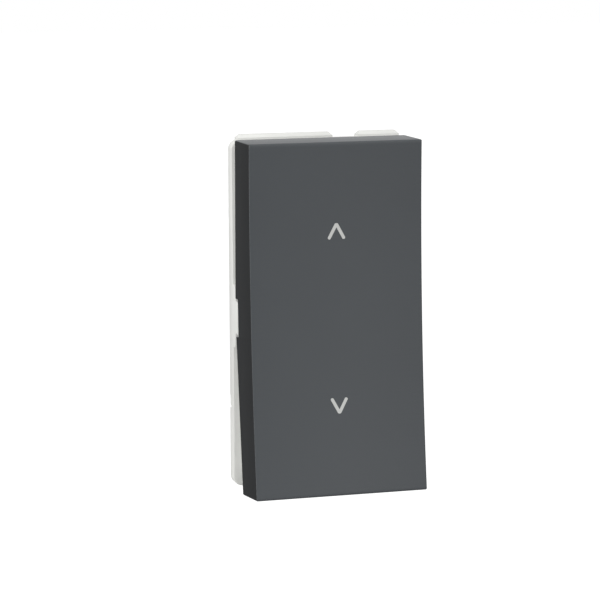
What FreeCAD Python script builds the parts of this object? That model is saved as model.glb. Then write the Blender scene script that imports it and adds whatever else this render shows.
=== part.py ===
import FreeCAD, Part
import math
import os

from FreeCAD import Vector

# One-module two-way rocker switch, in millimetres.
# X runs to the right, Z runs up, and the front of the switch looks towards -Y.
# The origin is the centre of the module, in the plane of the flange's back face.

# Clearances, how far a cutting form reaches past what it cuts, and how near counts as the same
bearing_gap = 0.05
moving_gap = 0.3
seat_gap = 0.1
contact_gap = 0.05
cut_margin = 1.0
near_enough = 1e-6

# Flange of the front chassis, with the lugs that snap behind a support frame
module_width = 22.5
module_play = 0.1
flange_height = 44.3
flange_thickness = 1.9
flange_corner = 1.1
lug_rise = 0.72
lug_thickness = 1.6
lug_chamfer = 0.4
upper_lug_left_margin = 0.85
lower_lug_left_margin = 1.6
lug_right_margin = 0.2
lug_gap_centre = 3.8
lug_gap_width = 3.3
tool_notch_height = 1.5
tool_notch_width = 0.9
tool_notch_depth = 1.1
tool_notch_place = 11.35

# Bezel wall that stands inside the rocker's skirt
bezel_inset = 1.25
bezel_wall = 1.0
bezel_rise = 5.3
bezel_corner = 0.8
bezel_end_gap = 0.7

# Rocker's swing, in degrees from one end pressed to the other, and where its pivot lies
rocker_angle = 7.2
pivot_rise = 2.0
pivot_depth = 7.0

# Rocker cap
face_height = 44.2
face_radius = 276.0
face_wall = 1.3
skirt_wall = 0.75
end_wall = 1.0
end_draft = 2.7
skirt_slope = 4.4
skirt_behind_pivot = 0.68
cap_edge_radius = 0.2
cap_rib_wall = 0.8
cap_rib_spacing = 6.3
cap_rib_root = 0.35
hook_width = 1.6
hook_height = 2.4
hook_nose = 0.45
hook_nose_length = 0.8
hook_inset = 2.75
hook_place_z = 10.5

# Ears of the chassis, that fill the notches in the rocker's skirt
notch_half_height = 2.4
notch_in_front_of_pivot = 0.65
notch_chamfer = 0.4
notch_gap = 0.3
ear_half_height = 4.0
ear_gap = 0.25

# Carrier that the cap snaps onto, with its bearing pins and plunger tube
carrier_before_pivot = 3.6
carrier_wall = 1.4
carrier_half_height = 14.0
carrier_corner = 1.0
cheek_wall = 1.3
cheek_half_height = 3.2
cheek_end_radius = 1.75
pin_radius = 1.2
tube_wall = 0.95
tube_reach = 7.5
tube_end_wall = 1.1
gusset_wall = 0.8
gusset_spread = 3.0
gusset_reach = 3.2
stop_width = 5.0
stop_height = 1.4
stop_place = 12.5

# Plunger and its spring
plunger_radius = 1.7
plunger_tip_radius = 1.0
plunger_cone = 1.4
plunger_shoulder = 2.0
plunger_gap = 0.1
plunger_bore_depth = 4.0
spring_radius = 1.0
spring_wire = 0.16
spring_turns = 5
spring_wire_sides = 6

# Contact bridge, that tips on the knife edge of the common terminal
bridge_pivot_y = 8.6
bridge_ratio = 2.0
bridge_half_length = 8.6
bridge_half_width = 2.6
bridge_thickness = 0.6
bridge_flat_half_height = 3.5
bridge_bend = 1.2
bridge_corner = 1.6
bridge_waist_half_width = 1.95
bridge_waist_half_height = 0.7

# Contact rivets
contact_arm = 7.0
contact_radius = 1.5
contact_height = 0.7
contact_bevel = 0.25
fixed_contact_radius = 1.6
fixed_contact_height = 0.5
shank_radius = 0.8
shank_proud = 0.15
shank_gap = 0.02

# Terminal strips of sheet brass
strip_thickness = 0.8
strip_bend = 0.9
strip_half_width = 4.6
fixed_strip_start = 4.6
knife_length = 0.7
knife_half_width = 1.85
prong_wall = 0.5
prong_reach = 1.0
prong_root = 2.2
riser_y = 12.6

# Terminal cells in the rear housing, from the middle one outwards
cell_height = 9.5
partition_wall = 1.0
clamp_side_gap = 0.3
clamp_thickness = 0.35
clamp_bend = 1.1
clamp_root_gap = 0.25
clamp_root_length = 3.9
clamp_lean = 2.6

# Rear housing
housing_wall = 1.2
chamber_half_width = 7.8
chamber_step = 0.75
chamber_depth = 5.8
chamber_corner = 1.0
block_half_width = 6.3
block_corner = 0.8
block_rear_y = 19.5
rear_wall = 2.0
rear_chamfer = 0.5
web_wall = 1.2
web_spread = 2.2
web_place = 14.5

# Spigot of the chassis, snapped into the mouth of the rear housing
spigot_wall = 0.9
spigot_length = 3.4
snap_height = 3.0
snap_length = 1.4
snap_start = 1.2
snap_nose = 0.8
snap_place = 11.3

# Wire entries and release buttons
wire_hole_radius = 1.7
wire_hole_x = -2.7
wire_funnel = 0.5
conductor_radius = 0.9
button_x = 2.7
button_half_width = 1.55
button_low = -1.8
button_high = 2.6
button_gap = 0.15
button_proud = 0.6
button_lip = 0.5
button_lip_length = 0.9
button_nose_inset = 0.5
button_slot_width = 0.6
button_slot_depth = 0.7

# Places worked out from the sizes above
half_angle = rocker_angle / 2
bridge_tilt = half_angle * bridge_ratio
bridge_slope = math.tan(math.radians(bridge_tilt))
flange_half_width = module_width / 2 - module_play
flange_half_height = flange_height / 2
flange_front_y = -flange_thickness
pivot_y = flange_front_y - pivot_rise
bezel_half_width = flange_half_width - bezel_inset
bezel_half_height = face_height / 2 - end_wall - bezel_end_gap
bezel_front_y = flange_front_y - bezel_rise
bezel_inner_half_width = bezel_half_width - bezel_wall
bezel_inner_half_height = bezel_half_height - bezel_wall
carrier_half_width = bezel_inner_half_width - moving_gap
carrier_rear = carrier_wall - carrier_before_pivot
hook_place_x = carrier_half_width - hook_inset
tube_bore = plunger_radius + bearing_gap
tube_radius = tube_bore + tube_wall
tube_bore_start = carrier_rear - carrier_wall + tube_end_wall
tip_reach = bridge_pivot_y - pivot_y - contact_gap - bridge_thickness - plunger_gap
cell_pitch = cell_height + partition_wall
block_inner_half_width = block_half_width - partition_wall
block_inner_half_height = cell_pitch + cell_height / 2
block_half_height = block_inner_half_height + housing_wall
chamber_half_height = block_half_height + chamber_step
rear_inner_y = block_rear_y - rear_wall
strip_offset = cell_height / 2 - seat_gap - strip_thickness / 2
strip_rear_y = rear_inner_y - seat_gap
wire_offset = strip_offset - strip_thickness / 2 - conductor_radius
lip_rear_y = rear_inner_y - seat_gap
lip_front_y = lip_rear_y - button_lip_length


def block(x_from, x_to, y_from, y_to, z_from, z_to):
    """Plain block between two opposite corners."""
    return Part.makeBox(x_to - x_from, y_to - y_from, z_to - z_from, Vector(x_from, y_from, z_from))


def parallel_edges(shape, direction):
    """Straight edges of a shape that run along a direction."""
    chosen = []
    for edge in shape.Edges:
        if edge.Curve.TypeId == "Part::GeomLine":
            if edge.Curve.Direction.cross(direction).Length < near_enough:
                chosen.append(edge)
    return chosen


def rounded_block(half_x, half_z, corner, y_from, y_to):
    """Block centred on the Y axis, with its four long edges rounded."""
    shape = block(-half_x, half_x, y_from, y_to, -half_z, half_z)
    return shape.makeFillet(corner, parallel_edges(shape, Vector(0, 1, 0)))


def extruded(outline, x_from, x_to):
    """Closed outline of (y, z) points, drawn out along X."""
    corners = [Vector(x_from, y, z) for y, z in outline]
    face = Part.Face(Part.makePolygon(corners + corners[:1]))
    return face.extrude(Vector(x_to - x_from, 0, 0))


def round_bar(radius, start, end):
    """Cylinder from one point to another."""
    run = end - start
    return Part.makeCylinder(radius, run.Length, start, run)


def turned(outline):
    """Outline of (radius, y) points and arcs, revolved about the Y axis.

    An entry with three points is an arc through them, one with a single point a corner."""
    edges = []
    last = None
    first = None
    for entry in outline:
        points = [Vector(radius, y, 0) for radius, y in entry]
        if first is None:
            first = points[0]
        if last is not None and (points[0] - last).Length > near_enough:
            edges.append(Part.LineSegment(last, points[0]).toShape())
        if len(points) == 3:
            edges.append(Part.Arc(*points).toShape())
        last = points[-1]
    edges.append(Part.LineSegment(last, first).toShape())
    face = Part.Face(Part.Wire(edges))
    return face.revolve(Vector(0, 0, 0), Vector(0, 1, 0), 360)


def bent_strip(line, bend, thickness, x_from, x_to):
    """Strip of sheet metal along a line of (y, z) points, with a bend of one radius at each."""
    points = [Vector(x_from, y, z) for y, z in line]
    ways = [(b - a).normalize() for a, b in zip(points, points[1:])]
    normals = [Vector(0, -way.z, way.y) for way in ways]
    sides = []
    for side in (thickness / 2, -thickness / 2):
        edges = []
        last = points[0] + normals[0] * side
        for corner, way_in, way_out, normal_in, normal_out in zip(
            points[1:], ways, ways[1:], normals, normals[1:]
        ):
            half_turn = way_in.getAngle(way_out) / 2
            back = bend * math.tan(half_turn)
            turn = 1 if normal_in.dot(way_out) > 0 else -1
            middle_normal = (normal_in + normal_out).normalize()
            arc_start = corner - way_in * back + normal_in * side
            arc_end = corner + way_out * back + normal_out * side
            centre = corner - way_in * back + normal_in * (turn * bend)
            arc_middle = centre - middle_normal * (turn * bend - side)
            edges.append(Part.LineSegment(last, arc_start).toShape())
            edges.append(Part.Arc(arc_start, arc_middle, arc_end).toShape())
            last = arc_end
        end = points[-1] + normals[-1] * side
        edges.append(Part.LineSegment(last, end).toShape())
        sides.append((edges, points[0] + normals[0] * side, end))
    (left, left_start, left_end), (right, right_start, right_end) = sides
    caps = [
        Part.LineSegment(left_end, right_end).toShape(),
        Part.LineSegment(left_start, right_start).toShape(),
    ]
    outline = Part.Wire(Part.__sortEdges__(left + right + caps))
    return Part.Face(outline).extrude(Vector(x_to - x_from, 0, 0))


def mirrored(shape):
    """The same shape on the other side of the middle of the switch, in height."""
    return shape.mirror(Vector(0, 0, 0), Vector(0, 0, 1))


def rocked(shape):
    """Places a piece drawn about the rocker's pivot as it rests, with the upper end pressed in."""
    placed = shape.copy()
    placed.rotate(Vector(0, 0, 0), Vector(1, 0, 0), -half_angle)
    placed.translate(Vector(0, pivot_y, 0))
    return placed


def tipped(shape):
    """Places a piece drawn about the knife edge as it rests, with the lower contact closed."""
    placed = shape.copy()
    placed.rotate(Vector(0, 0, 0), Vector(1, 0, 0), bridge_tilt)
    placed.translate(Vector(0, bridge_pivot_y, 0))
    return placed


def cap_outline(inset, wall, rear):
    """Side outline of the cap: hollowed front, drafted ends, and a straight line at the rear.

    inset moves the ends inwards, wall moves the front back."""
    half = face_height / 2 - inset
    sag = face_radius - math.sqrt(face_radius ** 2 - (face_height / 2) ** 2)
    front_middle = wall - pivot_depth
    front_end = front_middle - sag
    draft = math.tan(math.radians(end_draft))
    half_rear = half + (rear - front_end) * draft
    arc = Part.Arc(
        Vector(0, front_end, half), Vector(0, front_middle, 0), Vector(0, front_end, -half)
    ).toShape()
    corners = [
        Vector(0, front_end, -half),
        Vector(0, rear, -half_rear),
        Vector(0, rear, half_rear),
        Vector(0, front_end, half),
    ]
    lines = [Part.LineSegment(a, b).toShape() for a, b in zip(corners, corners[1:])]
    return Part.Wire(Part.__sortEdges__([arc] + lines))


def make_rocker_cap():
    """Moulded key: a shell with a hollowed face and a skirt that rises towards both ends."""
    outer_face = Part.Face(cap_outline(0, 0, skirt_behind_pivot))
    shell = outer_face.extrude(Vector(2 * flange_half_width, 0, 0))
    shell.translate(Vector(-flange_half_width, 0, 0))
    front_edges = []
    for edge in shell.Edges:
        nearest = min(vertex.Y for vertex in edge.Vertexes)
        if nearest < -pivot_depth:
            front_edges.append(edge)
    shell = shell.makeFillet(cap_edge_radius, front_edges)

    # The skirt is cut back along two slopes that meet at the pivot
    reach = face_height
    fall = reach * math.tan(math.radians(skirt_slope))
    for side in (1, -1):
        wedge = [
            (skirt_behind_pivot, 0),
            (skirt_behind_pivot - fall, side * reach),
            (skirt_behind_pivot + cut_margin, side * reach),
            (skirt_behind_pivot + cut_margin, 0),
        ]
        shell = shell.cut(extruded(wedge, -module_width, module_width))

    hollow_half_width = flange_half_width - skirt_wall
    hollow = Part.Face(cap_outline(end_wall, face_wall, skirt_behind_pivot + cut_margin))
    hollow = hollow.extrude(Vector(2 * hollow_half_width, 0, 0))
    hollow.translate(Vector(-hollow_half_width, 0, 0))
    shell = shell.cut(hollow)

    # Notches over the chassis's ears, with the upper mouth corner taken off
    notch = [
        (-notch_in_front_of_pivot, -notch_half_height),
        (-notch_in_front_of_pivot, notch_half_height),
        (skirt_behind_pivot - notch_chamfer, notch_half_height),
        (skirt_behind_pivot + notch_chamfer, notch_half_height + 2 * notch_chamfer),
        (skirt_behind_pivot + notch_chamfer, -notch_half_height),
    ]
    shell = shell.cut(extruded(notch, -module_width, module_width))

    # Ribs behind the face, that seat on the carrier
    rib_front = cap_rib_root - pivot_depth
    rib_half_width = carrier_half_width - seat_gap
    rib_half_height = bezel_inner_half_height - 2 * moving_gap
    half_rib = cap_rib_wall / 2
    ribs = []
    for place in (-1, 1):
        x_middle = place * hook_place_x / 2
        ribs.append(
            block(
                x_middle - half_rib, x_middle + half_rib,
                rib_front, -carrier_before_pivot, -rib_half_height, rib_half_height,
            )
        )
    for step in (-2, -1, 1, 2):
        z_middle = step * cap_rib_spacing
        ribs.append(
            block(
                -rib_half_width, rib_half_width, rib_front, -carrier_before_pivot,
                z_middle - half_rib, z_middle + half_rib,
            )
        )
    for rib in ribs:
        shell = shell.fuse(rib)

    # Snap hooks, that pass through the carrier and catch behind it
    for side in (-1, 1):
        for end in (-1, 1):
            inner = hook_place_x - hook_width / 2
            outer = hook_place_x + hook_width / 2
            rear = carrier_rear + hook_nose_length
            post = block(
                inner, outer, rib_front, rear,
                end * hook_place_z - hook_height / 2, end * hook_place_z + hook_height / 2,
            )
            nose = Part.makePolygon(
                [
                    Vector(outer, carrier_rear, 0),
                    Vector(outer + hook_nose + seat_gap, carrier_rear, 0),
                    Vector(outer, rear, 0),
                    Vector(outer, carrier_rear, 0),
                ]
            )
            nose = Part.Face(nose).extrude(Vector(0, 0, hook_height))
            nose.translate(Vector(0, 0, end * hook_place_z - hook_height / 2))
            hook = post.fuse(nose)
            if side < 0:
                hook = hook.mirror(Vector(0, 0, 0), Vector(1, 0, 0))
            shell = shell.fuse(hook)
    return shell.removeSplitter()


def make_rocker_carrier():
    """Moulded carrier: plate, two bearing cheeks with pins, plunger tube and end stops."""
    front = -carrier_before_pivot
    plate = rounded_block(carrier_half_width, carrier_half_height, carrier_corner, front, carrier_rear)
    for side in (-1, 1):
        for end in (-1, 1):
            middle_x = side * hook_place_x
            window = block(
                middle_x - hook_width / 2 - seat_gap, middle_x + hook_width / 2 + seat_gap,
                front, carrier_rear,
                end * hook_place_z - hook_height / 2 - seat_gap,
                end * hook_place_z + hook_height / 2 + seat_gap,
            )
            plate = plate.cut(window)
    body = plate

    # Cheeks taper to a round end about the pivot and carry the pins
    cheek_outer = carrier_half_width
    cheek_inner = cheek_outer - cheek_wall
    pin_end = bezel_half_width - seat_gap
    taper = [
        (carrier_rear - carrier_wall / 2, cheek_half_height),
        (0, cheek_end_radius),
        (0, -cheek_end_radius),
        (carrier_rear - carrier_wall / 2, -cheek_half_height),
    ]
    for side in (-1, 1):
        near, far = sorted((side * cheek_inner, side * cheek_outer))
        body = body.fuse(extruded(taper, near, far))
        body = body.fuse(round_bar(cheek_end_radius, Vector(near, 0, 0), Vector(far, 0, 0)))
        pin = round_bar(pin_radius, Vector(side * cheek_inner, 0, 0), Vector(side * pin_end, 0, 0))
        body = body.fuse(pin)

    # Tube for the plunger, held by four gussets
    tube = round_bar(tube_radius, Vector(0, front + tube_end_wall / 2, 0), Vector(0, tube_reach, 0))
    body = body.fuse(tube)
    gusset = [
        (carrier_rear - carrier_wall / 2, 0),
        (carrier_rear - carrier_wall / 2, tube_radius + gusset_spread),
        (carrier_rear, tube_radius + gusset_spread),
        (carrier_rear + gusset_reach, tube_radius - tube_wall / 2),
        (carrier_rear + gusset_reach, 0),
    ]
    for quarter in range(4):
        web = extruded(gusset, -gusset_wall / 2, gusset_wall / 2)
        web.rotate(Vector(0, 0, 0), Vector(0, 1, 0), 90 * quarter)
        body = body.fuse(web)
    bore = round_bar(tube_bore, Vector(0, tube_bore_start, 0), Vector(0, tube_reach + cut_margin, 0))
    body = body.cut(bore)

    # End stops meet the chassis's deck at the two ends of the swing
    swing = math.radians(half_angle)
    stop_far = stop_place + stop_height / 2
    stop_rear = (pivot_rise - seat_gap - stop_far * math.sin(swing)) / math.cos(swing)
    for end in (-1, 1):
        stop = block(
            -stop_width / 2, stop_width / 2, carrier_rear - carrier_wall / 2, stop_rear,
            end * stop_place - stop_height / 2, end * stop_place + stop_height / 2,
        )
        body = body.fuse(stop)
    return body.removeSplitter()


def make_plunger():
    """Turned plunger, hollow at the front for its spring, with a round tip."""
    bore = spring_radius + spring_wire + seat_gap
    bore_end = plunger_shoulder + plunger_bore_depth
    tip_centre = tip_reach - plunger_tip_radius
    bevel = math.sqrt(0.5) * plunger_tip_radius
    return turned(
        [
            [(bore, plunger_shoulder)],
            [(plunger_radius, plunger_shoulder)],
            [(plunger_radius, tip_centre - plunger_cone)],
            [
                (plunger_tip_radius, tip_centre),
                (bevel, tip_centre + bevel),
                (0, tip_reach),
            ],
            [(0, bore_end)],
            [(bore, bore_end)],
        ]
    )


def make_plunger_spring():
    """Coil spring between the end of the carrier's tube and the plunger."""
    start = tube_bore_start + spring_wire + seat_gap
    end = plunger_shoulder + plunger_bore_depth - spring_wire - seat_gap
    height = end - start
    helix = Part.makeHelix(height / spring_turns, height, spring_radius)
    corners = []
    for corner in range(spring_wire_sides):
        angle = 2 * math.pi * (corner + 0.5) / spring_wire_sides
        across = spring_radius + spring_wire * math.cos(angle)
        corners.append(Vector(across, 0, spring_wire * math.sin(angle)))
    section = Part.makePolygon(corners + corners[:1])
    coil = Part.Wire(helix.Edges).makePipeShell([section], True, True)
    coil.rotate(Vector(0, 0, 0), Vector(1, 0, 0), -90)
    coil.translate(Vector(0, start, 0))
    return coil


def make_front_chassis():
    """Moulded chassis: flange, bezel wall, bearing ears, lugs and the spigot at the back."""
    body = rounded_block(flange_half_width, flange_half_height, flange_corner, flange_front_y, 0)
    bezel = rounded_block(
        bezel_half_width, bezel_half_height, bezel_corner, bezel_front_y, flange_front_y / 2
    )
    well = rounded_block(
        bezel_inner_half_width, bezel_inner_half_height, bezel_corner / 2,
        bezel_front_y, flange_front_y,
    )
    body = body.fuse(bezel).cut(well)

    # Ears flush with the module's sides, with a nose that fills the rocker's notch
    shoulder_y = pivot_y + skirt_behind_pivot + ear_gap
    nose_y = pivot_y - notch_in_front_of_pivot + ear_gap
    nose_half = notch_half_height - notch_gap
    ear = [
        (flange_front_y, -ear_half_height),
        (shoulder_y, -ear_half_height),
        (shoulder_y, -nose_half),
        (nose_y, -nose_half),
        (nose_y, nose_half),
        (shoulder_y, nose_half),
        (shoulder_y, ear_half_height),
        (flange_front_y, ear_half_height),
    ]
    for side in (-1, 1):
        near, far = sorted((side * (bezel_half_width - bezel_wall / 2), side * flange_half_width))
        body = body.fuse(extruded(ear, near, far))
        bearing = round_bar(
            pin_radius + bearing_gap,
            Vector(side * (bezel_inner_half_width - cut_margin), pivot_y, 0),
            Vector(side * bezel_half_width, pivot_y, 0),
        )
        body = body.cut(bearing)

    # Lugs on the top and bottom edges, two on each
    lug_top = flange_half_height + lug_rise
    lug_gap_left = lug_gap_centre - lug_gap_width / 2
    lug_gap_right = lug_gap_centre + lug_gap_width / 2
    for left_margin, lower in ((upper_lug_left_margin, False), (lower_lug_left_margin, True)):
        spans = (
            (left_margin - flange_half_width, lug_gap_left),
            (lug_gap_right, flange_half_width - lug_right_margin),
        )
        for left, right in spans:
            lug = block(left, right, -lug_thickness, 0, flange_half_height - lug_rise, lug_top)
            top_edges = []
            for edge in lug.Edges:
                if min(vertex.Z for vertex in edge.Vertexes) > lug_top - near_enough:
                    top_edges.append(edge)
            lug = lug.makeChamfer(lug_chamfer, top_edges)
            if lower:
                lug = mirrored(lug)
            body = body.fuse(lug)

    # Opening for the plunger tube, as long as its swing needs
    swing = math.sin(math.radians(half_angle)) * pivot_rise * 2
    opening = rounded_block(
        tube_radius + moving_gap, tube_radius + moving_gap + swing, tube_radius / 2,
        flange_front_y, spigot_length,
    )

    # Spigot with snap noses for the rear housing
    spigot_half_width = chamber_half_width - seat_gap
    spigot_half_height = chamber_half_height - seat_gap
    spigot = rounded_block(spigot_half_width, spigot_half_height, chamber_corner, 0, spigot_length)
    core = rounded_block(
        spigot_half_width - spigot_wall, spigot_half_height - spigot_wall,
        chamber_corner / 2, 0, spigot_length,
    )
    body = body.fuse(spigot.cut(core)).cut(opening)
    nose = Part.makePolygon(
        [
            Vector(spigot_half_width, snap_start + seat_gap, 0),
            Vector(spigot_half_width + snap_nose, snap_start + seat_gap, 0),
            Vector(spigot_half_width, snap_start + snap_length - seat_gap, 0),
            Vector(spigot_half_width, snap_start + seat_gap, 0),
        ]
    )
    nose = Part.Face(nose).extrude(Vector(0, 0, snap_height - 2 * seat_gap))
    nose.translate(Vector(0, 0, snap_place - snap_height / 2 + seat_gap))
    for turn in (nose, mirrored(nose)):
        body = body.fuse(turn).fuse(turn.mirror(Vector(0, 0, 0), Vector(1, 0, 0)))

    # Tool notches in the back edge of the flange, low on the left and high on the right
    for side in (-1, 1):
        near, far = sorted(
            (side * (flange_half_width - tool_notch_width), side * (flange_half_width + cut_margin))
        )
        body = body.cut(
            block(
                near, far, -tool_notch_depth, 0,
                side * tool_notch_place - tool_notch_height / 2,
                side * tool_notch_place + tool_notch_height / 2,
            )
        )
    return body.removeSplitter()


def cell_centres():
    """Height of the middle of the upper, common and lower terminal cells."""
    return (("upper", cell_pitch), ("common", 0), ("lower", -cell_pitch))


def cell_side(height):
    """The lower cell is a mirror image of the upper one."""
    return -1 if height < 0 else 1


def make_rear_housing():
    """Moulded housing: contact chamber behind the flange and a narrower terminal block."""
    chamber = rounded_block(
        chamber_half_width + housing_wall, chamber_half_height + housing_wall,
        chamber_corner + housing_wall / 2, 0, chamber_depth + housing_wall,
    )
    terminal_block = rounded_block(
        block_half_width, block_half_height, block_corner, chamber_depth, block_rear_y
    )
    rear_edges = [
        edge for edge in terminal_block.Edges
        if min(vertex.Y for vertex in edge.Vertexes) > block_rear_y - near_enough
    ]
    terminal_block = terminal_block.makeChamfer(rear_chamfer, rear_edges)
    body = chamber.fuse(terminal_block)

    # Webs brace the terminal block against the back of the chamber
    for side in (-1, 1):
        for place in (-web_place, 0, web_place):
            web = Part.makePolygon(
                [
                    Vector(block_half_width - housing_wall / 2, chamber_depth, 0),
                    Vector(block_half_width + web_spread, chamber_depth, 0),
                    Vector(block_half_width + web_spread, chamber_depth + housing_wall, 0),
                    Vector(block_half_width, chamber_depth + housing_wall + web_spread, 0),
                    Vector(
                        block_half_width - housing_wall / 2,
                        chamber_depth + housing_wall + web_spread, 0,
                    ),
                    Vector(block_half_width - housing_wall / 2, chamber_depth, 0),
                ]
            )
            web = Part.Face(web).extrude(Vector(0, 0, web_wall))
            web.translate(Vector(0, 0, place - web_wall / 2))
            if side < 0:
                web = web.mirror(Vector(0, 0, 0), Vector(1, 0, 0))
            body = body.fuse(web)

    body = body.cut(
        rounded_block(chamber_half_width, chamber_half_height, chamber_corner, 0, chamber_depth)
    )
    body = body.cut(
        block(
            -block_inner_half_width, block_inner_half_width, chamber_depth, rear_inner_y,
            -block_inner_half_height, block_inner_half_height,
        )
    )
    for side in (-1, 1):
        middle = side * cell_pitch / 2
        body = body.fuse(
            block(
                -block_half_width + housing_wall / 2, block_half_width - housing_wall / 2,
                fixed_strip_rear(), rear_inner_y + rear_wall / 2,
                middle - partition_wall / 2, middle + partition_wall / 2,
            )
        )

    # Windows that the chassis's snap noses catch in
    for place in (-snap_place, snap_place):
        body = body.cut(
            block(
                -module_width / 2, module_width / 2, snap_start, snap_start + snap_length,
                place - snap_height / 2, place + snap_height / 2,
            )
        )

    for name, height in cell_centres():
        wire_z = height + cell_side(height) * wire_offset
        mouth = Vector(wire_hole_x, block_rear_y, wire_z)
        body = body.cut(round_bar(wire_hole_radius, mouth - Vector(0, rear_wall + cut_margin, 0), mouth))
        funnel = Part.makeCone(
            wire_hole_radius + wire_funnel, wire_hole_radius, wire_funnel, mouth, Vector(0, -1, 0)
        )
        body = body.cut(funnel)
        low, high = sorted(
            (
                cell_side(height) * (button_low - button_gap),
                cell_side(height) * (button_high + button_gap),
            )
        )
        body = body.cut(
            block(
                button_x - button_half_width - button_gap, button_x + button_half_width + button_gap,
                rear_inner_y - cut_margin, block_rear_y + cut_margin, height + low, height + high,
            )
        )
    return body.removeSplitter()


def rivet(head_radius, head_height, bevel, thickness):
    """Contact rivet through a strip that lies across Y, its head behind the strip."""
    half = thickness / 2
    outline = [
        [(0, -half - shank_proud)],
        [(shank_radius, -half - shank_proud)],
        [(shank_radius, half)],
        [(head_radius, half)],
        [(head_radius, half + head_height - bevel)],
    ]
    if bevel:
        outline.append([(head_radius - 2 * bevel, half + head_height)])
    outline.append([(0, half + head_height)])
    return turned(outline)


def bridge_end():
    """Where a moving contact sits on the sloped end of the bridge: its y and z."""
    middle = -contact_gap - bridge_thickness / 2
    return middle - (contact_arm - bridge_flat_half_height) * bridge_slope, contact_arm


def on_bridge(shape, end):
    """Sets a piece on the upper (1) or lower (-1) sloped end of the bridge."""
    y, z = bridge_end()
    placed = shape.copy()
    placed.rotate(Vector(0, 0, 0), Vector(1, 0, 0), end * bridge_tilt)
    placed.translate(Vector(0, y, end * z))
    return placed


def fixed_contact_face():
    """Front of a fixed contact, which the closed moving contact lies flat against."""
    y, z = bridge_end()
    tilt = math.radians(bridge_tilt)
    closed_y = y * math.cos(tilt) + z * math.sin(tilt)
    return bridge_pivot_y + closed_y + bridge_thickness / 2 + contact_height + contact_gap


def fixed_strip_rear():
    """Back of the fixed contacts' strips, which seat on the housing's partitions."""
    return fixed_contact_face() + fixed_contact_height + strip_thickness


def make_contact_bridge():
    """Pressed copper bridge: its ends slope forward, its waist sits on the knife edge."""
    middle = -contact_gap - bridge_thickness / 2
    forward = (bridge_half_length - bridge_flat_half_height) * bridge_slope
    line = [
        (middle - forward, -bridge_half_length),
        (middle, -bridge_flat_half_height),
        (middle, bridge_flat_half_height),
        (middle - forward, bridge_half_length),
    ]
    strip = bent_strip(line, bridge_bend, bridge_thickness, -bridge_half_width, bridge_half_width)
    reach = forward + bridge_thickness + cut_margin
    trim = rounded_block(bridge_half_width, bridge_half_length, bridge_corner, -reach, reach)
    strip = strip.common(trim)
    for side in (-1, 1):
        near, far = sorted((side * bridge_waist_half_width, side * (bridge_half_width + cut_margin)))
        strip = strip.cut(
            block(near, far, -reach, reach, -bridge_waist_half_height, bridge_waist_half_height)
        )
    hole = round_bar(shank_radius + shank_gap, Vector(0, -cut_margin, 0), Vector(0, cut_margin, 0))
    for end in (-1, 1):
        strip = strip.cut(on_bridge(hole, end))
    return strip.removeSplitter()


def make_moving_contact(end):
    """Silver contact rivet with a bevelled head."""
    return on_bridge(rivet(contact_radius, contact_height, contact_bevel, bridge_thickness), end)


def make_fixed_terminal():
    """Upper terminal: contact leg across the chamber, clamping leg along the cell's outer wall."""
    leg_y = fixed_strip_rear() - strip_thickness / 2
    plate_z = cell_pitch + strip_offset
    line = [(leg_y, fixed_strip_start), (leg_y, plate_z), (strip_rear_y, plate_z)]
    strip = bent_strip(line, strip_bend, strip_thickness, -strip_half_width, strip_half_width)
    hole = round_bar(
        shank_radius + shank_gap,
        Vector(0, leg_y - strip_thickness, contact_arm), Vector(0, leg_y + strip_thickness, contact_arm),
    )
    return strip.cut(hole)


def make_fixed_contact():
    """Upper fixed contact rivet, its flat head towards the bridge."""
    piece = rivet(fixed_contact_radius, fixed_contact_height, 0, strip_thickness)
    piece.rotate(Vector(0, 0, 0), Vector(1, 0, 0), 180)
    piece.translate(Vector(0, fixed_strip_rear() - strip_thickness / 2, contact_arm))
    return piece


def make_common_terminal():
    """Common terminal: knife edge and guide prongs in front, riser, and clamping leg behind."""
    knife_root = bridge_pivot_y + knife_length
    half = strip_thickness / 2
    line = [(knife_root, 0), (riser_y, 0), (riser_y, strip_offset), (strip_rear_y, strip_offset)]
    strip = bent_strip(line, strip_bend, strip_thickness, -strip_half_width, strip_half_width)
    tongue = knife_root + prong_root
    for side in (-1, 1):
        near, far = sorted(
            (side * (bridge_half_width + moving_gap), side * (strip_half_width + cut_margin))
        )
        strip = strip.cut(
            block(near, far, knife_root - cut_margin, tongue, -strip_thickness, strip_thickness)
        )
        prong_inner = bridge_waist_half_width + shank_gap + seat_gap
        near, far = sorted((side * prong_inner, side * (prong_inner + prong_wall)))
        prong = block(near, far, bridge_pivot_y - prong_reach, knife_root + half, -half, half)
        strip = strip.fuse(prong)
    knife = [(knife_root, -half), (bridge_pivot_y, 0), (knife_root, half)]
    strip = strip.fuse(extruded(knife, -knife_half_width, knife_half_width))
    return strip.removeSplitter()


def clamp_line():
    """Centre line of a clamp spring in its cell, whose middle is the origin of the heights."""
    low = clamp_thickness / 2 + seat_gap - cell_height / 2
    high = strip_offset - strip_thickness / 2 - seat_gap - clamp_thickness
    root_y = lip_front_y - clamp_root_gap
    return [
        (root_y - clamp_root_length, low),
        (root_y, low),
        (root_y, low + 2 * clamp_bend),
        (root_y - clamp_lean, high),
    ]


def make_clamp_spring(height):
    """Leaf spring of a terminal: root on the cell's floor, clamping leg up to the strip."""
    half_width = block_inner_half_width - clamp_side_gap
    shape = bent_strip(clamp_line(), clamp_bend - clamp_thickness, clamp_thickness, -half_width, half_width)
    if cell_side(height) < 0:
        shape = mirrored(shape)
    shape.translate(Vector(0, 0, height))
    return shape


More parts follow.
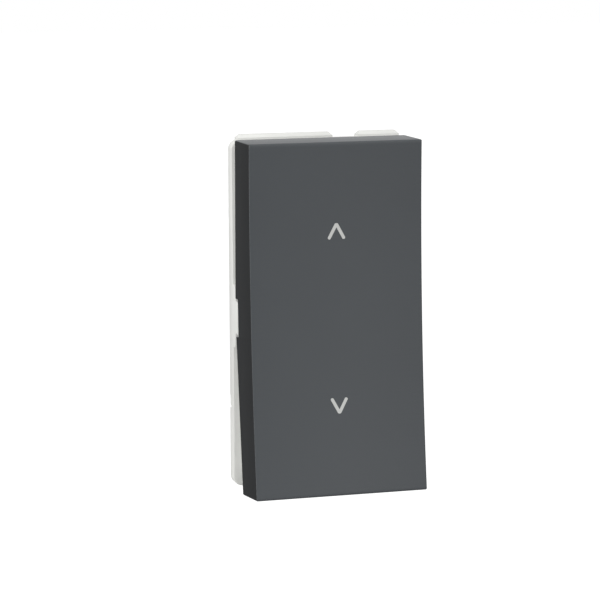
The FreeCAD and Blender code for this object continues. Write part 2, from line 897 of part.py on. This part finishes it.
def make_release_button(height):
    """Moulded button beside a wire entry, whose nose bends the clamp spring away."""
    left = button_x - button_half_width
    right = button_x + button_half_width
    rear = block_rear_y + button_proud
    tail = block(left, right, lip_rear_y, rear, button_low, button_high)
    tail = tail.makeChamfer(button_gap, parallel_edges(tail, Vector(0, 1, 0)))
    middle = (button_low + button_high) / 2
    half_slot = button_slot_width / 2
    slot = block(left, right, rear - button_slot_depth, rear, middle - half_slot, middle + half_slot)
    lip = block(
        left - button_lip, right + button_lip, lip_front_y, lip_rear_y, button_low, button_high
    )

    # The nose's front lies along the leg of the clamp spring
    (leg_low_y, leg_low_z), (leg_high_y, leg_high_z) = clamp_line()[2:]
    slope = (leg_high_y - leg_low_y) / (leg_high_z - leg_low_z)
    set_back = (clamp_thickness / 2 + moving_gap) * math.sqrt(1 + slope ** 2)
    nose = [(lip_rear_y, button_low)]
    for z in (button_low, button_high - button_nose_inset):
        nose.append((leg_low_y + slope * (z - leg_low_z) + set_back, z))
    nose.append((lip_rear_y, button_high - button_nose_inset))
    shape = tail.cut(slot).fuse(lip)
    shape = shape.fuse(extruded(nose, left + button_nose_inset, right - button_nose_inset))
    shape = shape.removeSplitter()
    if cell_side(height) < 0:
        shape = mirrored(shape)
    shape.translate(Vector(0, 0, height))
    return shape


def build():
    """Every piece of the switch at rest, by name."""
    pieces = {
        "rocker_cap": rocked(make_rocker_cap()),
        "rocker_carrier": rocked(make_rocker_carrier()),
        "plunger": rocked(make_plunger()),
        "plunger_spring": rocked(make_plunger_spring()),
        "front_chassis": make_front_chassis(),
        "rear_housing": make_rear_housing(),
        "contact_bridge": tipped(make_contact_bridge()),
        "moving_contact_upper": tipped(make_moving_contact(1)),
        "moving_contact_lower": tipped(make_moving_contact(-1)),
        "terminal_upper": make_fixed_terminal(),
        "terminal_common": make_common_terminal(),
        "terminal_lower": mirrored(make_fixed_terminal()),
        "fixed_contact_upper": make_fixed_contact(),
        "fixed_contact_lower": mirrored(make_fixed_contact()),
    }
    for name, height in cell_centres():
        pieces["clamp_spring_" + name] = make_clamp_spring(height)
        pieces["release_button_" + name] = make_release_button(height)
    return pieces


os.makedirs("parts", exist_ok=True)
for node, shape in build().items():
    if len(shape.Solids) == 1:
        shape = shape.Solids[0]
    shape.exportStep("parts/" + node + ".step")
    print(node, len(shape.Solids), "solid,", round(shape.Volume, 2), "cubic millimetres")
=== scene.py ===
import bpy
import math
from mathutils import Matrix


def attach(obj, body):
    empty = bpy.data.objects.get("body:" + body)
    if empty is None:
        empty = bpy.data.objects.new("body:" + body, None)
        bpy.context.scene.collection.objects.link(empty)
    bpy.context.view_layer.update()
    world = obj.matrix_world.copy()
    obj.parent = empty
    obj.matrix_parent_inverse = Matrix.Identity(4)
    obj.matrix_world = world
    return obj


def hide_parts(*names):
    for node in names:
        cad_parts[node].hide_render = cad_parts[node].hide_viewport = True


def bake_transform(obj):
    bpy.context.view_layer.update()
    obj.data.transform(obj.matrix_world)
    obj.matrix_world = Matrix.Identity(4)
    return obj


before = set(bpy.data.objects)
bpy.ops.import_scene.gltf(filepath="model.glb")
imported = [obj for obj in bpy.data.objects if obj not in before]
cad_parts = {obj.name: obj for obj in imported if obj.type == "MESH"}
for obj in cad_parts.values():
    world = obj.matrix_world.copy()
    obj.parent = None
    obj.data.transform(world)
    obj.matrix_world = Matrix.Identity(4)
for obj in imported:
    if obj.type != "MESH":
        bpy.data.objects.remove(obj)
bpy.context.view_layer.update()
mm = 0.001

# Camera
# A long lens on a stand to the left of the switch and a little above it, about 33 cm away,
# so that the left edge of the flange and the top of the key just show.
camera_place = (-89.97 * mm, -313.71 * mm, 54.84 * mm)
camera_azimuth = math.radians(16.831)
camera_elevation = math.radians(10.317)
camera_data = bpy.data.cameras.new("camera")
camera = bpy.data.objects.new("camera", camera_data)
bpy.context.scene.collection.objects.link(camera)
camera.location = camera_place
camera.rotation_euler = (math.pi / 2 - camera_elevation, 0, -camera_azimuth)
camera_data.lens = 154.5
camera_data.shift_x = -0.0836
camera_data.shift_y = 0.0734
camera_data.clip_start = 0.01
bpy.context.scene.camera = camera


# Rear housing
# Contact chamber and terminal block in one off-white moulding, with three wire entries.
# It snaps on behind the flange; its edges are slightly rounded by the mould.
doubled_within = 0.002 * mm
flat_within = math.radians(0.4)
sharp_from = math.radians(50)
housing_edge = 0.1 * mm


def only_active(piece):
    """Selects one piece alone and makes it the active one."""
    if bpy.context.object and bpy.context.object.mode != "OBJECT":
        bpy.ops.object.mode_set(mode="OBJECT")
    bpy.ops.object.select_all(action="DESELECT")
    piece.select_set(True)
    bpy.context.view_layer.objects.active = piece


def merge_corners(distance):
    """Merges the corners of the active piece that lie within a distance of each other."""
    bpy.ops.object.mode_set(mode="EDIT")
    bpy.ops.mesh.select_all(action="SELECT")
    bpy.ops.mesh.remove_doubles(threshold=distance)
    bpy.ops.object.mode_set(mode="OBJECT")


def copied(node, name):
    """A copy of a CAD node's piece with its corners merged."""
    piece = bpy.data.objects.new(name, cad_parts[node].data.copy())
    bpy.context.scene.collection.objects.link(piece)
    only_active(piece)
    merge_corners(doubled_within)
    if piece.data.has_custom_normals:
        bpy.ops.mesh.customdata_custom_splitnormals_clear()
    return piece


def softened(node, name, width):
    """The moulded piece of a CAD node with its sharp edges rounded a little."""
    piece = copied(node, name)
    bpy.ops.object.mode_set(mode="EDIT")
    bpy.ops.mesh.select_all(action="SELECT")
    bpy.ops.mesh.dissolve_limited(angle_limit=flat_within)
    bpy.ops.object.mode_set(mode="OBJECT")
    rounding = piece.modifiers.new("edge_rounding", "BEVEL")
    rounding.width = width
    rounding.segments = 2
    rounding.limit_method = "ANGLE"
    rounding.angle_limit = sharp_from
    rounding.use_clamp_overlap = False
    bpy.ops.object.modifier_apply(modifier=rounding.name)
    bpy.ops.object.shade_smooth_by_angle(angle=math.radians(35))
    return piece


def moulded(name, colour, roughness, grain=9000, depth=0.006, shift=0.03, specular=0.5):
    """Moulded plastic: fine grain from the mould, and slow, faint changes of tone and gloss."""
    gloss_swing = 0.05
    material = bpy.data.materials.new(name)
    material.use_nodes = True
    nodes = material.node_tree.nodes
    links = material.node_tree.links
    shader = nodes["Principled BSDF"]
    shader.inputs["Specular IOR Level"].default_value = specular
    place = nodes.new("ShaderNodeTexCoord")

    cloud = nodes.new("ShaderNodeTexNoise")
    cloud.inputs["Scale"].default_value = 90
    cloud.inputs["Detail"].default_value = 4
    links.new(place.outputs["Object"], cloud.inputs["Vector"])
    tone = nodes.new("ShaderNodeValToRGB")
    tone.color_ramp.elements[0].position = 0.3
    tone.color_ramp.elements[1].position = 0.7
    tone.color_ramp.elements[0].color = [c * (1 - shift) for c in colour] + [1]
    tone.color_ramp.elements[1].color = [c * (1 + shift) for c in colour] + [1]
    links.new(cloud.outputs["Fac"], tone.inputs["Fac"])
    links.new(tone.outputs["Color"], shader.inputs["Base Color"])

    speck = nodes.new("ShaderNodeTexNoise")
    speck.inputs["Scale"].default_value = grain
    speck.inputs["Detail"].default_value = 3
    links.new(place.outputs["Object"], speck.inputs["Vector"])
    gloss = nodes.new("ShaderNodeMapRange")
    gloss.inputs["To Min"].default_value = roughness - gloss_swing
    gloss.inputs["To Max"].default_value = roughness + gloss_swing
    links.new(speck.outputs["Fac"], gloss.inputs["Value"])
    links.new(gloss.outputs["Result"], shader.inputs["Roughness"])
    bump = nodes.new("ShaderNodeBump")
    bump.inputs["Strength"].default_value = 0.35
    bump.inputs["Distance"].default_value = depth * mm
    links.new(speck.outputs["Fac"], bump.inputs["Height"])
    links.new(bump.outputs["Normal"], shader.inputs["Normal"])
    return material


def finished(piece, material):
    """Gives every face of a piece one finish."""
    if not piece.material_slots:
        piece.data.materials.append(material)
    for material_slot in piece.material_slots:
        material_slot.material = material


white_plastic = moulded("white_plastic", (0.75, 0.753, 0.724), 0.42)
housing = softened("rear_housing", "housing_moulding", housing_edge)
finished(housing, white_plastic)
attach(housing, "housing")
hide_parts("rear_housing")


# Terminal strips
# Bent from brass sheet: two fixed terminals and the common one with its knife edge.
# The rolled surface has faint lines along the strip.
places = ("upper", "common", "lower")


def rolled_metal(name, colour, roughness, line_scale, tarnish):
    """Rolled or drawn metal: faint lines one way, and slow patches of a deeper tone."""
    along = 0.05 * line_scale
    dullest = 0.1
    brightest = 0.08
    material = bpy.data.materials.new(name)
    material.use_nodes = True
    nodes = material.node_tree.nodes
    links = material.node_tree.links
    shader = nodes["Principled BSDF"]
    shader.inputs["Metallic"].default_value = 1
    place = nodes.new("ShaderNodeTexCoord")

    patches = nodes.new("ShaderNodeTexNoise")
    patches.inputs["Scale"].default_value = 260
    patches.inputs["Detail"].default_value = 5
    links.new(place.outputs["Object"], patches.inputs["Vector"])
    tone = nodes.new("ShaderNodeValToRGB")
    tone.color_ramp.elements[0].position = 0.35
    tone.color_ramp.elements[1].position = 0.65
    tone.color_ramp.elements[0].color = [c * (1 - tarnish) for c in colour] + [1]
    tone.color_ramp.elements[1].color = list(colour) + [1]
    links.new(patches.outputs["Fac"], tone.inputs["Fac"])
    links.new(tone.outputs["Color"], shader.inputs["Base Color"])

    stretch = nodes.new("ShaderNodeMapping")
    stretch.inputs["Scale"].default_value = (line_scale, along, along)
    links.new(place.outputs["Object"], stretch.inputs["Vector"])
    lines = nodes.new("ShaderNodeTexNoise")
    lines.inputs["Scale"].default_value = 1
    lines.inputs["Detail"].default_value = 3
    links.new(stretch.outputs["Vector"], lines.inputs["Vector"])
    gloss = nodes.new("ShaderNodeMapRange")
    gloss.inputs["To Min"].default_value = roughness - brightest
    gloss.inputs["To Max"].default_value = roughness + dullest
    links.new(lines.outputs["Fac"], gloss.inputs["Value"])
    links.new(gloss.outputs["Result"], shader.inputs["Roughness"])
    bump = nodes.new("ShaderNodeBump")
    bump.inputs["Strength"].default_value = 0.25
    bump.inputs["Distance"].default_value = 0.004 * mm
    links.new(lines.outputs["Fac"], bump.inputs["Height"])
    links.new(bump.outputs["Normal"], shader.inputs["Normal"])
    return material


brass = rolled_metal("brass", (0.76, 0.56, 0.25), 0.3, 16000, 0.25)
for place_name in places:
    finished(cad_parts["terminal_" + place_name], brass)

# Fixed contacts
# Flat silver rivets pressed into the two fixed terminals.
# Silver dulls a little in use, so it is brighter in patches.
silver = rolled_metal("contact_silver", (0.82, 0.81, 0.78), 0.28, 9000, 0.18)
finished(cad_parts["fixed_contact_upper"], silver)
finished(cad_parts["fixed_contact_lower"], silver)

# Clamp springs
# Bent leaves of hardened spring steel that press the wire against the brass.
# The root lies still; a pressed button pushes the leg's middle, and its tip gives way less.
spring_steel = rolled_metal("spring_steel", (0.56, 0.56, 0.57), 0.26, 12000, 0.15)
cell_middle = 10.5 * mm
leaf_seam = 0.3 * mm
cut_step = 0.5 * mm
root_cuts = [-4 * mm + cut_step * index for index in range(7)]
tip_cuts = [0.8 * mm + cut_step * index for index in range(5)]
smooth_within = math.radians(30)


def clamp_half(place_name, part_name, side, middle, cuts):
    """One half of a clamp leaf, cut across at even steps so that it bends smoothly."""
    half = copied("clamp_spring_" + place_name, "clamp_" + part_name + "_" + place_name)
    keeps_tip = part_name == "tip"
    bpy.ops.object.mode_set(mode="EDIT")
    bpy.ops.mesh.select_all(action="SELECT")
    bpy.ops.mesh.bisect(
        plane_co=(0, 0, middle + side * leaf_seam), plane_no=(0, 0, side),
        use_fill=True, clear_inner=keeps_tip, clear_outer=not keeps_tip,
    )
    for height in cuts:
        bpy.ops.mesh.select_all(action="SELECT")
        bpy.ops.mesh.bisect(plane_co=(0, 0, middle + side * height), plane_no=(0, 0, side))
    bpy.ops.object.mode_set(mode="OBJECT")
    bpy.ops.object.shade_smooth_by_angle(angle=smooth_within)
    finished(half, spring_steel)
    return half


for place_name, side, middle in zip(places, (1, 1, -1), (cell_middle, 0, -cell_middle)):
    root = clamp_half(place_name, "root", side, middle, root_cuts)
    tip = clamp_half(place_name, "tip", side, middle, tip_cuts)
    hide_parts("clamp_spring_" + place_name)
    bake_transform(root)
    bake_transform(tip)

# Release buttons
# Small grey mouldings beside the wire entries, with a slot for a screwdriver.
# Each one slides in and bends its clamp spring away.
grey_plastic = moulded("grey_plastic", (0.23, 0.235, 0.24), 0.5)
for place_name in places:
    finished(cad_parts["release_button_" + place_name], grey_plastic)

# Contact bridge
# Pressed from copper strip; its ends slope forward and carry the moving contacts.
# It sits loose on the knife edge of the common terminal.
copper = rolled_metal("bridge_copper", (0.8, 0.42, 0.28), 0.3, 14000, 0.3)
finished(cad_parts["contact_bridge"], copper)

# Moving contacts
# Silver rivets with bevelled heads, one at each end of the bridge.
# They share the dull silver of the fixed ones.
finished(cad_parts["moving_contact_upper"], silver)
finished(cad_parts["moving_contact_lower"], silver)

# Front chassis
# One off-white moulding: flange, bezel wall, bearing ears and the lugs at the top and bottom.
# The key hides all of it but the rim of the flange, the ears and the lugs.
chassis_edge = 0.12 * mm
chassis = softened("front_chassis", "chassis_moulding", chassis_edge)
finished(chassis, white_plastic)
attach(chassis, "housing")
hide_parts("front_chassis")

# Key carrier
# White moulding with the bearing pins and the tube for the plunger.
# The key's hooks snap through it; it is hidden by the key.
carrier_plastic = moulded("carrier_plastic", (0.74, 0.74, 0.72), 0.5)
finished(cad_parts["rocker_carrier"], carrier_plastic)

# Plunger and its spring
# A moulded pin of slippery cream plastic, pushed on to the bridge by a steel coil.
# The coil is drawn wire; its rear end goes with the pin, its front end stays in the tube.
plunger_plastic = moulded("plunger_plastic", (0.66, 0.62, 0.53), 0.38, depth=0.003)
finished(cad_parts["plunger"], plunger_plastic)
drawn_wire = rolled_metal("drawn_wire", (0.62, 0.62, 0.63), 0.22, 20000, 0.1)
coil = copied("plunger_spring", "plunger_coil")
bpy.ops.object.shade_smooth_by_angle(angle=smooth_within)
finished(coil, drawn_wire)
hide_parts("plunger_spring")
pivot = (0, -3.9 * mm, 0)
key_tilt = math.radians(-3.6)
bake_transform(coil)

# Rocker key
# Anthracite moulding, one thin shell: a hollowed face, drafted ends, and a skirt cut back to
# a shallow V. It snaps on to the carrier; its face and ends are satin, its long sides matt.
# The plastic is one colour, but the face and ends are painted a lighter, bluer tone as painted sheen,
# and the long sides a darker tone as painted shade.
key_half_width = 11.15 * mm
key_half_height = 22.1 * mm
face_radius = 276 * mm
face_middle = -7 * mm
skirt_rear = 0.68 * mm
skirt_slope = math.radians(4.4)
end_draft = math.radians(2.7)
key_wall = 0.75 * mm
key_edge_radius = 0.2 * mm
face_arc = math.asin(key_half_height / face_radius)
face_end = face_middle - face_radius * (1 - math.cos(face_arc))
skirt_length = 9 * mm
face_steps = 64
seam_within = 0.001 * mm
inner_corner_within = 0.06 * mm
on_edge_within = 0.01 * mm
rim_break = 0.06 * mm
side_facing = 0.75


def face_depth(height):
    """Where the hollowed face lies at a height, before the key is tilted."""
    return face_middle - face_radius + math.sqrt(face_radius ** 2 - height ** 2)


def choose(piece, kind, wanted):
    """In edit mode, selects only the faces, edges or corners that a test accepts."""
    bpy.ops.mesh.select_mode(type=kind)
    bpy.ops.mesh.select_all(action="DESELECT")
    bpy.ops.object.mode_set(mode="OBJECT")
    mesh = piece.data
    if kind == "VERT":
        for corner in mesh.vertices:
            corner.select = wanted(corner.co)
    elif kind == "EDGE":
        for edge in mesh.edges:
            ends = [mesh.vertices[index].co for index in edge.vertices]
            edge.select = all(wanted(end) for end in ends)
    else:
        for face in mesh.polygons:
            face.select = wanted(face.center, face.normal)
    bpy.ops.object.mode_set(mode="EDIT")


# One edge across the key's lower end is spun about the centre of the hollow to make the face
bpy.ops.mesh.primitive_plane_add(size=2 * key_half_width, location=(0, 0, 0))
key = bpy.context.object
key.name = "rocker_key"
only_active(key)
bpy.ops.object.mode_set(mode="EDIT")
choose(key, "VERT", lambda corner: corner.y > 0)
bpy.ops.mesh.delete(type="VERT")
bpy.ops.mesh.select_all(action="SELECT")
bpy.ops.transform.translate(value=(0, key_half_width + face_end, -key_half_height))
bpy.ops.mesh.spin(
    steps=face_steps, angle=-2 * face_arc, center=(0, face_middle - face_radius, 0), axis=(1, 0, 0)
)

# The rim of the face is drawn back, spread by the draft, and trimmed to the two slopes
bpy.ops.mesh.select_all(action="SELECT")
bpy.ops.mesh.remove_doubles(threshold=seam_within)
bpy.ops.mesh.select_mode(type="FACE")
bpy.ops.mesh.select_all(action="SELECT")
bpy.ops.mesh.region_to_loop()
bpy.ops.mesh.extrude_region_move(TRANSFORM_OT_translate={"value": (0, skirt_length, 0)})
spread = 1 + skirt_length * math.tan(end_draft) / key_half_height
bpy.ops.transform.resize(value=(1, 1, spread), center_override=(0, 0, 0))
for side in (1, -1):
    choose(key, "FACE", lambda centre, normal: centre.z * side > 0)
    bpy.ops.mesh.bisect(
        plane_co=(0, skirt_rear, 0),
        plane_no=(0, math.cos(skirt_slope), side * math.sin(skirt_slope)),
    )
choose(
    key, "FACE",
    lambda centre, normal: centre.y > skirt_rear - abs(centre.z) * math.tan(skirt_slope),
)
bpy.ops.mesh.delete(type="FACE")
bpy.ops.mesh.select_all(action="SELECT")
bpy.ops.mesh.remove_doubles(threshold=seam_within)
bpy.ops.mesh.normals_make_consistent(inside=False)
bpy.ops.object.mode_set(mode="OBJECT")

wall = key.modifiers.new("wall", "SOLIDIFY")
wall.thickness = key_wall
wall.offset = -1
wall.use_even_offset = True
bpy.ops.object.modifier_apply(modifier=wall.name)
merge_corners(inner_corner_within)

# A notch in each side of the skirt clears the chassis's ears
notch_half_height = 2.4 * mm
notch_front = -0.65 * mm
notch_chamfer = 0.3 * mm
bevel_start = skirt_rear - notch_chamfer
bpy.ops.mesh.primitive_cube_add(
    size=1,
    location=(0, (notch_front + bevel_start) / 2, 0),
    scale=(3 * key_half_width, bevel_start - notch_front, 2 * notch_half_height),
)
cutter = bpy.context.object
cutter.name = "notch_cutter"
only_active(cutter)
bpy.ops.object.transform_apply(location=True, rotation=True, scale=True)
bpy.ops.object.mode_set(mode="EDIT")
choose(cutter, "FACE", lambda centre, normal: normal.y > 0.9)
bpy.ops.mesh.extrude_region_move(TRANSFORM_OT_translate={"value": (0, 2 * notch_chamfer, 0)})
choose(cutter, "VERT", lambda corner: corner.y > skirt_rear and corner.z > 0)
bpy.ops.transform.translate(value=(0, 0, 2 * notch_chamfer))
bpy.ops.object.mode_set(mode="OBJECT")
only_active(key)
notch = key.modifiers.new("notch", "BOOLEAN")
notch.operation = "DIFFERENCE"
notch.object = cutter
bpy.ops.object.modifier_apply(modifier=notch.name)
bpy.data.objects.remove(cutter)


def on_key_rim(corner):
    """True on the outline of the face and on the four corners behind it."""
    at_side = abs(abs(corner.x) - key_half_width) < on_edge_within
    end = key_half_height + (corner.y - face_end) * math.tan(end_draft)
    at_end = abs(abs(corner.z) - end) < on_edge_within
    on_face = abs(corner.z) <= key_half_height + seam_within
    on_face = on_face and abs(corner.y - face_depth(corner.z)) < on_edge_within
    return (on_face and (at_side or at_end)) or (at_side and at_end)


# The outer edges are rounded, then every edge that is still sharp is broken a little
bpy.ops.object.mode_set(mode="EDIT")
choose(key, "EDGE", on_key_rim)
bpy.ops.mesh.bevel(offset=key_edge_radius, segments=5, profile=0.5, affect="EDGES")
bpy.ops.object.mode_set(mode="OBJECT")
rim = key.modifiers.new("rim", "BEVEL")
rim.width = rim_break
rim.segments = 2
rim.limit_method = "ANGLE"
rim.angle_limit = sharp_from
rim.use_clamp_overlap = False
bpy.ops.object.modifier_apply(modifier=rim.name)
bpy.ops.object.shade_smooth_by_angle(angle=smooth_within)
key.location = pivot
key.rotation_euler = (key_tilt, 0, 0)
bpy.ops.object.transform_apply(location=True, rotation=True, scale=True)

# Painted light: the satin colour is lighter and bluer than the matt one, as a painted sheen on the
# face and ends, and the matt colour is darker, as painted shade on the long sides.
satin_anthracite_painted_sheen = moulded("satin_anthracite_painted_sheen", (0.0358, 0.0416, 0.0471), 0.44, depth=0.004)
matt_anthracite_painted_shade = moulded(
    "matt_anthracite_painted_shade", (0.0277, 0.0287, 0.0297), 0.75, depth=0.012, specular=0.03
)
key.data.materials.append(satin_anthracite_painted_sheen)
key.data.materials.append(matt_anthracite_painted_shade)
# Faces turned to the sides take the darker painted-shade colour; the face and ends take the
# painted-sheen colour.
for face in key.data.polygons:
    face.material_index = 1 if abs(face.normal.x) > side_facing else 0
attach(key, "rocker")
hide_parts("rocker_cap")

# Arrows on the key
# Pad-printed in light grey, one arrow near each end, each of two strokes with round ends.
# They lie flat on the hollow of the face, half of the ink's thickness above it.
stroke_half_width = 0.2 * mm
tip_spread = 0.05 * mm
ink = 0.03 * mm
round_steps = 48
printed_grey = moulded("printed_grey", (0.5, 0.505, 0.49), 0.55, depth=0.002)


def printed_arrow(name, tip, ends):
    """Two strokes from the blunt tip, each a short cylinder stretched along the stroke."""
    strokes = []
    for end in ends:
        start = math.copysign(tip_spread, end[0])
        run = (end[0] - start, end[1] - tip[1])
        length = math.hypot(*run)
        bpy.ops.mesh.primitive_cylinder_add(vertices=round_steps, radius=stroke_half_width, depth=ink)
        stroke = bpy.context.object
        only_active(stroke)
        bpy.ops.object.mode_set(mode="EDIT")
        choose(stroke, "VERT", lambda corner: corner.x > seam_within)
        bpy.ops.transform.translate(value=(length, 0, 0))
        bpy.ops.object.mode_set(mode="OBJECT")
        stroke.location = (start, 0, 0)
        stroke.rotation_euler = (0, 0, math.atan2(run[1], run[0]))
        bpy.ops.object.transform_apply(location=True, rotation=True, scale=True)
        strokes.append(stroke)
    arrow, other = strokes
    only_active(arrow)
    arrow.name = name
    union = arrow.modifiers.new("both_strokes", "BOOLEAN")
    union.operation = "UNION"
    union.object = other
    bpy.ops.object.modifier_apply(modifier=union.name)
    bpy.data.objects.remove(other)
    merge_corners(doubled_within)
    bpy.ops.object.shade_smooth_by_angle(angle=smooth_within)

    # Stood up against the face at the tip's height, square to the hollow there, then tilted
    arrow.rotation_euler = (math.pi / 2 + math.asin(tip[1] / face_radius), 0, 0)
    arrow.location = (tip[0], face_depth(tip[1]), tip[1])
    bpy.ops.object.transform_apply(location=True, rotation=True, scale=True)
    arrow.location = pivot
    arrow.rotation_euler = (key_tilt, 0, 0)
    bpy.ops.object.transform_apply(location=True, rotation=True, scale=True)
    finished(arrow, printed_grey)
    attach(arrow, "rocker")


printed_arrow(
    "arrow_up", (0, 11.84 * mm),
    ((-0.92 * mm, 10.23 * mm), (0.92 * mm, 10.23 * mm)),
)
printed_arrow(
    "arrow_down", (-0.03 * mm, -11.59 * mm),
    ((-0.9 * mm, -10.01 * mm), (0.9 * mm, -10.01 * mm)),
)

# Floor and light
# A pale floor well below the switch, a white backdrop all round, and three large soft lamps:
# above, on the left, and in front on the right.
floor_size = 4
floor_level = -85 * mm
floor_tone = 0.55
floor_glow = 0.62
world_light = 0.56
bpy.ops.mesh.primitive_plane_add(size=floor_size, location=(0, 0, floor_level))
floor = bpy.context.object
floor.name = "floor"
floor_paint = bpy.data.materials.new("floor_paint")
floor_paint.use_nodes = True
nodes = floor_paint.node_tree.nodes
links = floor_paint.node_tree.links
paint = nodes["Principled BSDF"]
paint.inputs["Base Color"].default_value = (floor_tone, floor_tone, floor_tone, 1)
paint.inputs["Roughness"].default_value = 0.9
paint.inputs["Specular IOR Level"].default_value = 0
seen = nodes.new("ShaderNodeLightPath")
glow = nodes.new("ShaderNodeEmission")
lift = nodes.new("ShaderNodeMath")
lift.operation = "MULTIPLY"
lift.inputs[1].default_value = floor_glow
links.new(seen.outputs["Is Camera Ray"], lift.inputs[0])
links.new(lift.outputs["Value"], glow.inputs["Strength"])
both = nodes.new("ShaderNodeAddShader")
links.new(paint.outputs["BSDF"], both.inputs[0])
links.new(glow.outputs["Emission"], both.inputs[1])
links.new(both.outputs["Shader"], nodes["Material Output"].inputs["Surface"])
finished(floor, floor_paint)

world = bpy.data.worlds.new("studio")
bpy.context.scene.world = world
world.use_nodes = True
nodes = world.node_tree.nodes
links = world.node_tree.links
air = nodes["Background"]
seen = nodes.new("ShaderNodeLightPath")
shows = nodes.new("ShaderNodeMath")
shows.operation = "MAXIMUM"
shows_all = nodes.new("ShaderNodeMath")
shows_all.operation = "MAXIMUM"
level = nodes.new("ShaderNodeMapRange")
level.inputs["To Min"].default_value = world_light
level.inputs["To Max"].default_value = 1
links.new(seen.outputs["Is Camera Ray"], shows.inputs[0])
links.new(seen.outputs["Is Glossy Ray"], shows.inputs[1])
links.new(shows.outputs["Value"], shows_all.inputs[0])
links.new(seen.outputs["Is Transmission Ray"], shows_all.inputs[1])
links.new(shows_all.outputs["Value"], level.inputs["Value"])
links.new(level.outputs["Result"], air.inputs["Strength"])
air.inputs["Color"].default_value = (1, 1, 1, 1)


def soft_lamp(name, location, size, power):
    """A large square lamp turned towards the switch."""
    lamp_data = bpy.data.lights.new(name, "AREA")
    lamp_data.size = size
    lamp_data.energy = power
    lamp = bpy.data.objects.new(name, lamp_data)
    bpy.context.scene.collection.objects.link(lamp)
    lamp.location = location
    across = math.hypot(location[0], location[1])
    tilt = math.atan2(across, location[2])
    turn = math.atan2(location[0], -location[1])
    lamp.rotation_euler = (tilt, 0, turn)


sun_data = bpy.data.lights.new("lamp_above", "SUN")
sun_data.energy = 0.9
sun_data.angle = math.radians(60)
sun = bpy.data.objects.new("lamp_above", sun_data)
bpy.context.scene.collection.objects.link(sun)
sun.rotation_euler = (math.radians(12), 0, 0)
soft_lamp("lamp_left", (-0.75, -0.27, 0.11), 0.38, 2.85)
soft_lamp("lamp_front_right", (0.28, -0.8, 0.25), 0.5, 1.85)

bpy.context.scene.view_settings.view_transform = "Standard"
